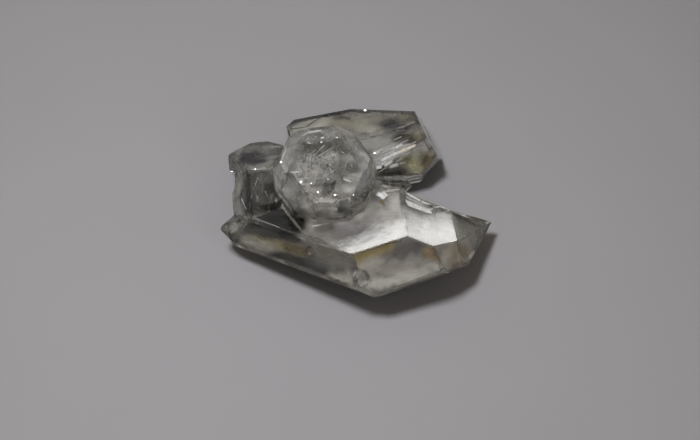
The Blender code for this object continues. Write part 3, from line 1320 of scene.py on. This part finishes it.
SPECKS = CarbonSpecks(
    (
        Speck((4.0, 7.1, 7.4), (1.2, 0.55, 0.3), 1),
        Speck((-2.1, 8.6, 7.15), (0.5, 0.2, 0.16), 2),
        Speck((-3.2, 8.4, 7.15), (0.3, 0.16, 0.14), 3),
        Speck((4.5, 5.9, 7.5), (0.3, 0.2, 0.15), 4),
        Speck((-0.1, -9.6, 6.0), (0.14, 0.1, 0.2), 6),
    )
)
SPARKS = (
    Spark((-5.38, -2.48, 12.21), (-0.015, -0.371, 0.928), 0.08),
    Spark((-2.16, -3.46, 11.44), (-0.031, -0.366, 0.93), 0.08),
    Spark((-0.4, -3.38, 11.32), (-0.04, -0.366, 0.93), 0.045),
    Spark((-2.07, -4.32, 10.42), (0.009, -0.712, 0.702), 0.05),
    Spark((-1.21, -2.14, 12.01), (-0.036, -0.373, 0.927), 0.05, 0.3),
    Spark((-3.77, -3.27, 11.67), (-0.023, -0.367, 0.93), 0.04),
    Spark((-2.82, -2.12, 12.16), (-0.028, -0.373, 0.927), 0.04, 0.3),
    Spark((-7.22, -0.08, 11.84), (-0.324, -0.223, 0.92), 0.12, 0.5),
    Spark((1.76, 4.24, 6.92), (-0.014, -0.497, 0.868), 0.16, 0.7),
    Spark((2.07, 3.1, 5.88), (-0.015, -0.492, 0.871), 0.16, 0.6),
    Spark((2.35, 3.2, 5.95), (-0.015, -0.492, 0.871), 0.1, 0.6),
    Spark((3.78, 3.56, 5.6), (0.084, -0.619, 0.781), 0.18, 0.6),
    Spark((0.81, 9.01, 7.4), (-0.096, -0.142, 0.985), 0.12),
    Spark((-10.28, 2.81, 5.84), (-0.07, 0.04, 0.997), 0.12, 0.3),
    Spark((10.91, -6.18, 4.33), (0.339, -0.326, 0.883), 0.12, 0.6),
)

SCUFFS_AND_PAINTED_LIGHT = ScuffsAndPaintedLight(
    (
        ScuffOrPaintedLight((4.6, -2.8, 9.2), (7.3, -3.1, 7.8), 1.0, "FFFFFF", 1.0, 0.04),
        ScuffOrPaintedLight((4.7, -1.9, 8.9), (6.6, -2.4, 8.2), 0.5, "E4E2DF", 0.55),
        # Painted highlight: these three white strips stand for the glint along the main crystal's back top edge.
        ScuffOrPaintedLight((4.4, -1.3, 9.0), (6.4, -1.9, 8.2), 0.35, "FFFFFF", 1.0),
        ScuffOrPaintedLight((6.4, -1.9, 8.2), (8.1, -2.2, 7.2), 0.42, "FFFFFF", 1.0),
        ScuffOrPaintedLight((8.1, -2.2, 7.2), (9.1, -2.2, 6.5), 0.4, "FAF9F6", 0.95, 0.05),
        ScuffOrPaintedLight((1.45, -1.3, 8.8), (2.1, -1.9, 8.9), 0.5, "FFFFFF", 1.0, 0.06),
        ScuffOrPaintedLight((1.9, -1.6, 8.9), (2.7, -2.4, 8.9), 0.5, "FFFFFF", 1.0, 0.06),
        ScuffOrPaintedLight((2.4, -1.5, 8.9), (2.9, -2.2, 8.9), 0.4, "F4F2EE", 0.95, 0.06),
        ScuffOrPaintedLight((2.7, -1.5, 8.9), (4.2, -1.4, 9.1), 0.3, "D8D4CF", 0.6),
        ScuffOrPaintedLight((2.4, -0.9, 8.85), (3.8, -0.8, 8.7), 0.4, "CFD2C0", 0.5),
        ScuffOrPaintedLight((2.2, -2.6, 9.0), (2.5, -3.1, 9.1), 0.4, "75592F", 0.9),
        ScuffOrPaintedLight((2.4, -3.1, 9.1), (2.7, -3.2, 9.1), 0.3, "8A7040", 0.8),
        ScuffOrPaintedLight((-10.2, -3.3, 6.8), (-7.4, -4.9, 7.5), 0.14, "B4B1AA", 0.65),
        ScuffOrPaintedLight((-7.6, -4.8, 7.4), (-5.1, -6.2, 8.1), 0.12, "8F8C84", 0.45),
        # Painted highlight: the glint along the line where the round crystal meets the main crystal's top face.
        ScuffOrPaintedLight((-4.5, -5.0, 8.1), (-2.7, -4.8, 8.4), 0.18),
        ScuffOrPaintedLight((-7.9, -1.4, 7.2), (-6.6, -3.5, 7.6), 0.3, "B4B1A6", 0.5),
        ScuffOrPaintedLight((-6.9, -3.1, 7.5), (-5.4, -5.4, 8.0), 0.3, "A5A298", 0.45),
        ScuffOrPaintedLight((-6.3, -3.8, 7.7), (-4.9, -6.3, 8.2), 0.16, "B0ADA4", 0.4),
        ScuffOrPaintedLight((-11.6, 0.0, 5.1), (-10.9, -1.6, 5.6), 0.13, "FFFFFF", 0.95),
        ScuffOrPaintedLight((-10.8, 2.75, 6.1), (-9.1, 2.65, 6.4), 0.17, "FFFFFF", 0.95),
        ScuffOrPaintedLight((-12.0, -4.0, 4.6), (-10.3, -3.3, 6.7), 0.1, "A5A39C", 0.6),
        ScuffOrPaintedLight((-7.1, -1.6, 12.3), (-5.5, -1.7, 12.8), 0.22, "DAD8D4", 0.7),
        # Painted highlights: a white band across the round crystal's top and a light band down its left rim.
        ScuffOrPaintedLight((-5.4, 2.0, 13.2), (-3.4, 2.7, 13.3), 0.36, "FFFFFF", 0.75),
        ScuffOrPaintedLight((-7.3, -0.2, 12.2), (-6.7, 1.4, 12.6), 0.3, "E8E7E4", 0.7),
        # Painted glints: the white strips on the back crystal's front face, from here to the ridge line, stand
        # for its cracks where they flash the lamp.
        ScuffOrPaintedLight((2.3, 3.5, 6.6), (4.2, 4.3, 6.98), 0.36, "FFFFFF", 1.0, 0.03),
        ScuffOrPaintedLight((4.0, 4.2, 6.95), (5.9, 4.95, 7.24), 0.34, "FFF8E8", 1.0, 0.03),
        ScuffOrPaintedLight((2.7, 3.1, 6.2), (3.6, 3.6, 6.4), 0.4, "F8F5EC", 0.95, 0.03),
        # Painted glint among the round crystal's cracks.
        ScuffOrPaintedLight((-1.4, -2.15, 12.25), (-0.5, -2.4, 12.05), 0.13, "FFFFFF", 0.8),
        ScuffOrPaintedLight((2.3, 3.2, 6.3), (3.6, 3.9, 6.7), 0.36, "FFFFFF", 0.9),
        ScuffOrPaintedLight((2.5, 3.7, 6.78), (3.8, 4.25, 7.03), 0.3, "FFFFFF", 0.9),
        ScuffOrPaintedLight((3.4, 3.9, 6.7), (4.7, 4.4, 6.95), 0.3, "F4F2EC", 0.8),
        ScuffOrPaintedLight((3.8, 4.54, 7.32), (4.6, 4.9, 7.49), 0.3, "F8F6F2", 0.95, 0.03),
        ScuffOrPaintedLight((1.9, 2.95, 6.2), (2.5, 3.05, 6.15), 0.36, "FFFFFF", 0.95, 0.04),
        ScuffOrPaintedLight((2.1, 2.6, 5.8), (3.3, 3.2, 6.0), 0.13, "DAD8D2", 0.8),
        ScuffOrPaintedLight((3.2, 3.2, 5.95), (4.2, 3.55, 5.85), 0.5, "FFFFFF", 0.95, 0.04),
        ScuffOrPaintedLight((4.2, 3.6, 5.9), (5.0, 3.85, 5.75), 0.28, "F0EEE8", 0.8),
        ScuffOrPaintedLight((1.7, 4.0, 7.2), (2.3, 4.1, 7.3), 0.4, "F4F2EC", 0.85, 0.04),
        # Painted highlight: a light line along the back crystal's ridge.
        ScuffOrPaintedLight((3.8, 5.8, 8.5), (6.4, 7.1, 7.7), 0.28, "B8B4AA", 0.7),
        ScuffOrPaintedLight((6.9, 9.2, 4.3), (8.0, 7.0, 3.6), 1.8, "8E8868", 0.55),
        ScuffOrPaintedLight((7.45, 5.15, 6.2), (7.6, 4.75, 5.4), 0.8, "B4AF9C", 0.65),
        ScuffOrPaintedLight((7.6, 4.75, 5.4), (6.9, 4.1, 4.3), 0.6, "9A8A64", 0.55),
        ScuffOrPaintedLight((5.0, 3.4, 3.4), (6.7, 3.75, 3.3), 0.6, "6A6248", 0.5),
        ScuffOrPaintedLight((-6.9, 6.4, 7.6), (-5.2, 6.7, 7.9), 0.25, "3B3830", 0.8),
        ScuffOrPaintedLight((-5.2, 6.7, 7.9), (-3.4, 8.4, 7.5), 0.25, "4A463C", 0.75),
        ScuffOrPaintedLight((-3.4, 8.5, 7.5), (-1.0, 8.9, 7.5), 0.35, "2E2A25", 0.85),
        # Painted shade: two dark strips on the lowest front-left face of the main crystal stand for the shadowed
        # paper it mirrors.
        ScuffOrPaintedLight((-8.7, -5.7, 2.7), (-4.6, -7.3, 3.0), 1.8, "24221C", 0.75),
        ScuffOrPaintedLight((-4.9, -7.2, 3.0), (-2.0, -8.6, 3.6), 1.4, "34312A", 0.5),
        ScuffOrPaintedLight((11.0, -6.6, 4.7), (11.6, -5.6, 4.3), 0.5, "D2CEC6", 0.7),
        ScuffOrPaintedLight((-4.9, -7.1, 6.7), (-4.4, -7.3, 6.7), 0.35, "A9A59C", 0.6),
    ),
    (
        Streaks(
            (-10.4, 1.8, 6.0), (-9.0, 1.2, 6.2), 1.3, (0.5, 1.0, 0.1), 16, 1.6, cover=0.22, stray=0.4, seed=2
        ),
        Streaks(
            (-10.6, -0.2, 6.0), (-8.6, -0.6, 6.0), 1.2, (-0.5, 1.0, 0.1), 14, 1.5, cover=0.18, stray=0.5, seed=3
        ),
        Streaks(
            (-9.8, -4.8, 4.9), (-5.4, -6.7, 6.2), 0.7, (0.85, -0.45, 0.28), 20, 2.6, 0.2, 0.35, 0.04,
            ("E2D8B0", "BFB48A", "8C7E50"), 4,
        ),
        Streaks(
            (-11.0, -4.5, 4.3), (-8.8, -5.5, 4.8), 0.5, (0.85, -0.45, 0.28), 12, 1.6, 0.16, 0.5, 0.06, seed=5
        ),
        Streaks(
            (-0.6, -9.5, 6.6), (0.6, -9.8, 6.6), 0.8, (0.15, -0.4, 1.0), 26, 1.6, 0.12, 0.4, 0.12, seed=6
        ),
        # Painted glints: white streaks on the back crystal's front face, for its cracks where they flash the
        # lamp.
        Streaks(
            (2.0, 3.6, 6.6), (4.6, 4.6, 7.2), 1.0, (1.0, 0.45, 0.2), 60, 2.2, 0.17, 1.0, 0.05,
            ("FFFFFF", "E9E7E2", "F4F2EE"), 7,
        ),
        Streaks(
            (4.4, 4.2, 6.0), (7.0, 4.6, 5.0), 1.0, (1.0, 0.3, -0.3), 26, 1.0, 0.2, 0.3, 0.5,
            ("D8D49A", "6E6A48", "B8A868"), 14,
        ),
        Streaks(
            (-2.0, 7.6, 7.8), (5.6, 7.2, 8.2), 1.1, (1.0, 0.1, 0.0), 40, 1.4, 0.2, 0.35, 0.3,
            ("D8D3C2", "6E6450", "A89C76", "3C362E"), 8,
        ),
        Streaks(
            (-5.0, -0.6, 12.9), (-1.2, -1.0, 12.7), 2.2, (1.0, 0.3, 0.0), 120, 1.1, 0.1, 0.5, 0.9,
            ("F4F3F0", "2C2820", "DCDAD4", "4C463A"), 9,
        ),
        Streaks(
            (-6.6, -2.4, 11.0), (-6.8, 1.0, 12.2), 1.0, (0.2, 1.0, 0.3), 34, 0.9, 0.13, 0.4, 0.4, seed=10
        ),
        Streaks(
            (-0.2, -3.0, 11.0), (1.2, 0.2, 11.4), 1.0, (0.4, 1.0, 0.2), 40, 0.7, 0.13, 0.45, 0.6, seed=11
        ),
        Streaks(
            (-5.4, 2.4, 12.7), (-1.2, 2.8, 13.0), 0.8, (1.0, 0.1, 0.1), 24, 1.1, 0.16, 0.45, 0.3, seed=12
        ),
        Streaks(
            (-5.4, -3.8, 11.2), (-1.2, -4.2, 11.0), 0.8, (1.0, 0.0, 0.0), 60, 0.9, 0.12, 0.5, 0.7,
            ("F4F3F0", "4C463A", "DCDAD4", "F4F3F0"), 13,
        ),
        Streaks(
            (-0.8, -3.9, 10.4), (1.0, -1.6, 10.8), 0.5, (1.0, 1.0, 0.3), 50, 0.4, 0.12, 0.7, 1.0,
            ("FFFFFF", "E9E7E2", "3C382F"), 15,
        ),
    ),
)


@dataclass(frozen=True)
class GreyPaper:
    """Matt uncoated paper with a faint mottle."""

    name: str = "matt_grey_paper"
    darker: str = "B9B8BC"
    lighter: str = "BDBCC0"
    mottle_mm: float = 14.0

    def build(self) -> bpy.types.Material:
        """Make the material.

        Returns:
            Matt grey with a faint slow mottle.
        """
        material, tree = new_material(self.name)
        mottle = object_noise(tree, self.mottle_mm, detail=2.0)
        shade(
            tree,
            "ShaderNodeBsdfPrincipled",
            {
                "Base Color": blend(tree, mottle, self.darker, self.lighter),
                "Roughness": 1.0,
                "Specular IOR Level": 0.0,
            },
        )
        return material


@dataclass(frozen=True)
class GlowingCloth:
    """White diffusing cloth with a lamp behind it, bright on one side and fading out to the other."""

    name: str
    strength: float
    colour: str = "FFFFFF"

    def build(self) -> bpy.types.Material:
        """Make the material.

        Returns:
            An emission that follows the panel's own fade attribute.
        """
        material, tree = new_material(self.name)
        fade = add_node(tree, "ShaderNodeAttribute", {"attribute_name": "fade"})
        power = add_node(
            tree, "ShaderNodeMath", {"operation": "MULTIPLY"}, {0: fade.outputs["Fac"], 1: self.strength}
        )
        shade(tree, "ShaderNodeEmission", {"Color": linear(self.colour), "Strength": power.outputs["Value"]})
        return material


@dataclass(frozen=True)
class GatheredLight:
    """The light that clear crystals gather on the paper under them, seen only through the crystals."""

    name: str = "light_gathered_under_the_crystals"
    dark: float = 0.05
    light: float = 0.32
    patch_mm: float = 3.0
    patch_edges: Span = (0.35, 0.65)
    colour: str = "F4EFE4"

    def build(self) -> bpy.types.Material:
        """Make the material.

        Returns:
            A glow in soft patches.
        """
        material, tree = new_material(self.name)
        patches = object_noise(tree, self.patch_mm, detail=2.0, distortion=1.0)
        power = remap(tree, patches, self.patch_edges, (self.dark, self.light), eased=True)
        shade(tree, "ShaderNodeEmission", {"Color": linear(self.colour), "Strength": power})
        return material


class Sight(Enum):
    """What a studio piece can be hidden from."""

    CAMERA = "visible_camera"
    MATT = "visible_diffuse"
    GLOSSY = "visible_glossy"
    SHADOW = "visible_shadow"


def hide_from(made: bpy.types.Object, *sights: Sight) -> None:
    """Hide a studio piece from some kinds of sight.

    Args:
        made: The piece.
        sights: What no longer sees it.
    """
    for sight in sights:
        setattr(made, sight.value, False)


@dataclass(frozen=True)
class SoftPanel:
    """A white panel of the studio that shows in a crystal face, with one soft edge."""

    name: str
    towards: Point
    seen_from: Point
    edge_turn: float
    edge_shift: float
    softness: float
    strength: float
    size: float = 60.0
    distance: float = 300.0
    steps: int = 48

    def build(self) -> bpy.types.Object:
        """Make the panel square on to the crystal face's reflection.

        Returns:
            The panel, which no camera or matt surface sees.
        """
        ahead = Vector(self.towards).normalized()
        side = Vector((0.0, 0.0, 1.0)).cross(ahead).normalized()
        up = ahead.cross(side)
        turn = math.radians(self.edge_turn)
        bright = side * math.cos(turn) + up * math.sin(turn)
        along = ahead.cross(bright)
        shape = bmesh.new()
        bmesh.ops.create_grid(shape, x_segments=self.steps, y_segments=2, size=self.size / 2.0)
        layer = shape.verts.layers.float.new("fade")
        for vertex in shape.verts:
            vertex[layer] = smooth_step((vertex.co.x + self.size / 2.0) / self.softness)
        bmesh.ops.rotate(shape, matrix=Matrix((bright, along, -ahead)).transposed(), verts=shape.verts)
        centre = Vector(self.seen_from) + ahead * self.distance
        centre += bright * (self.edge_shift + self.size / 2.0)
        bmesh.ops.translate(shape, vec=centre, verts=shape.verts)
        cloth = GlowingCloth(name=f"{self.name}_cloth", strength=self.strength)
        panel = object_from(shape, self.name, cloth.build())
        hide_from(panel, Sight.CAMERA, Sight.MATT, Sight.SHADOW)
        return panel


@dataclass(frozen=True)
class RoundLamp:
    """A round lamp that shines on the cluster: where it hangs, its diameter and its watts."""

    name: str
    place: Point
    across: float
    watts: float

    def build(self) -> bpy.types.Object:
        """Hang the lamp.

        Returns:
            The lamp, which the camera doesn't see.
        """
        data = bpy.data.lights.new(self.name, "AREA")
        data.shape = "DISK"
        data.size = self.across * METRES
        data.energy = self.watts
        made = bpy.data.objects.new(self.name, data)
        bpy.context.scene.collection.objects.link(made)
        made.location = Vector(self.place) * METRES
        made.rotation_euler = Vector(self.place).to_track_quat("Z", "Y").to_euler()
        hide_from(made, Sight.CAMERA)
        return made


@dataclass(frozen=True)
class Studio:
    """The paper, the lamps, the panels, the pale room and the camera."""

    panels: tuple[SoftPanel, ...]
    lamp: RoundLamp = RoundLamp("overhead_lamp", (-26.5, -15.5, 133.0), 22.6, 0.094)
    fill: RoundLamp = RoundLamp("fill_lamp", (140.0, -140.0, 150.0), 80.0, 0.03)
    floor_mm: float = 900.0
    sky: str = "FFF2E2"
    sky_strength: float = 0.125
    gathered_at: Point = (0.0, -1.0, 0.02)
    gathered_size: Point = (13.5, 10.0, 1.0)
    dome_radius: float = 800.0
    dome_low: float = 0.32
    dome_high: float = 0.55
    aim: Point = (-0.73, -2.04, 4.25)
    elevation: float = 60.0
    away: float = 136.11
    lens: float = 70.0
    sensor: float = 36.0
    nearest: float = 5.0
    furthest: float = 10000.0
    bounces: int = 32
    glossy_bounces: int = 16

    def camera(self) -> bpy.types.Object:
        """Make the camera where the photograph was taken from.

        Returns:
            The scene's camera.
        """
        data = bpy.data.cameras.new("camera")
        data.lens = self.lens
        data.sensor_width = self.sensor
        data.clip_start = self.nearest * METRES
        data.clip_end = self.furthest * METRES
        made = bpy.data.objects.new("camera", data)
        bpy.context.scene.collection.objects.link(made)
        rise = math.radians(self.elevation)
        back = Vector((0.0, -math.cos(rise), math.sin(rise)))
        made.location = (Vector(self.aim) + back * self.away) * METRES
        made.rotation_euler = (math.radians(90.0 - self.elevation), 0.0, 0.0)
        bpy.context.scene.camera = made
        return made

    def paper(self) -> bpy.types.Object:
        """Make the sheet of paper underneath.

        Returns:
            The floor.
        """
        shape = bmesh.new()
        bmesh.ops.create_grid(shape, x_segments=2, y_segments=2, size=self.floor_mm / 2.0)
        made = object_from(shape, "paper", GreyPaper().build())
        return made

    def gathered_light(self) -> bpy.types.Object:
        """Lay the gathered light on the paper under the crystals.

        Returns:
            A round sheet that only light through the crystals shows.
        """
        shape = bmesh.new()
        bmesh.ops.create_circle(shape, cap_ends=True, segments=64, radius=1.0)
        bmesh.ops.scale(shape, vec=Vector(self.gathered_size), verts=shape.verts)
        bmesh.ops.translate(shape, vec=Vector(self.gathered_at), verts=shape.verts)
        made = object_from(shape, "gathered_light", GatheredLight().build())
        hide_from(made, Sight.CAMERA, Sight.MATT, Sight.GLOSSY, Sight.SHADOW)
        return made

    def dome(self) -> bpy.types.Object:
        """Make the pale walls and ceiling that show in the crystals and light nothing matt.

        Returns:
            A half ball whose glow rises from the horizon to overhead.
        """
        shape = bmesh.new()
        bmesh.ops.create_uvsphere(shape, u_segments=48, v_segments=24, radius=self.dome_radius)
        bmesh.ops.bisect_plane(
            shape,
            geom=shape.verts[:] + shape.edges[:] + shape.faces[:],
            dist=0.01,
            plane_co=Vector((0.0, 0.0, 0.0)),
            plane_no=Vector((0.0, 0.0, -1.0)),
            clear_outer=True,
        )
        layer = shape.verts.layers.float.new("fade")
        for vertex in shape.verts:
            height = vertex.co.z / self.dome_radius
            vertex[layer] = self.dome_low + (self.dome_high - self.dome_low) * height
        made = object_from(shape, "pale_room", GlowingCloth("pale_room_walls", 1.0).build())
        hide_from(made, Sight.CAMERA, Sight.MATT, Sight.SHADOW)
        return made

    def surroundings(self) -> None:
        """Set the dim room light, the bounces and the plain view transform."""
        scene = bpy.context.scene
        world = bpy.data.worlds.new("room")
        world.use_nodes = True
        world.node_tree.nodes.clear()
        light = add_node(
            world.node_tree,
            "ShaderNodeBackground",
            inputs={"Color": linear(self.sky), "Strength": self.sky_strength},
        )
        add_node(world.node_tree, "ShaderNodeOutputWorld", inputs={"Surface": light.outputs["Background"]})
        scene.world = world
        scene.view_settings.view_transform = "Standard"
        scene.cycles.max_bounces = self.bounces
        scene.cycles.transmission_bounces = self.bounces
        scene.cycles.transparent_max_bounces = self.bounces
        scene.cycles.glossy_bounces = self.glossy_bounces
        scene.cycles.caustics_refractive = False
        scene.cycles.caustics_reflective = False

    def build(self) -> None:
        """Set the whole studio up."""
        self.camera()
        self.lamp.build()
        hide_from(self.fill.build(), Sight.GLOSSY)
        self.paper()
        self.gathered_light()
        self.dome()
        self.surroundings()
        for panel in self.panels:
            panel.build()


PANELS = (
    SoftPanel("left_panel", (-0.245, 0.695, 0.676), (1.5, -5.5, 9.2), 90.0, -4.5, 8.0, 11.8),
    SoftPanel("right_panel", (0.667, 0.706, 0.238), (7.0, -5.0, 9.0), 157.0, -7.0, 9.0, 8.4),
)


def main() -> None:
    """Build every piece in order and report it."""
    logging.basicConfig(level=logging.INFO, format="%(message)s")
    Studio(PANELS).build()
    LOG.info("studio ready")
    body = QuartzBody().build()
    inside = Inside()
    pieces = [body, *RoundCrystalCracks(SPARKS).build(inside)]
    for cracks in (MAIN_HAZE, MAIN_CRACKS, LEFT_CRACKS, BACK_CRACKS):
        pieces.append(cracks.build(inside))
    pieces.append(SPECKS.build(inside))
    pieces.append(CloudedLayer(ROUND_CLOUDS + MAIN_HAZE_AND_PAINTED_SHADE + LEFT_HAZE_AND_PAINTED_SHADE + BACK_HAZE_AND_PAINTED_SHADE).build(inside))
    pieces.append(SCUFFS_AND_PAINTED_LIGHT.build(inside))
    for piece in pieces:
        LOG.info("%s: %d faces", piece.name, len(piece.data.polygons))


if __name__ == "__main__":
    main()
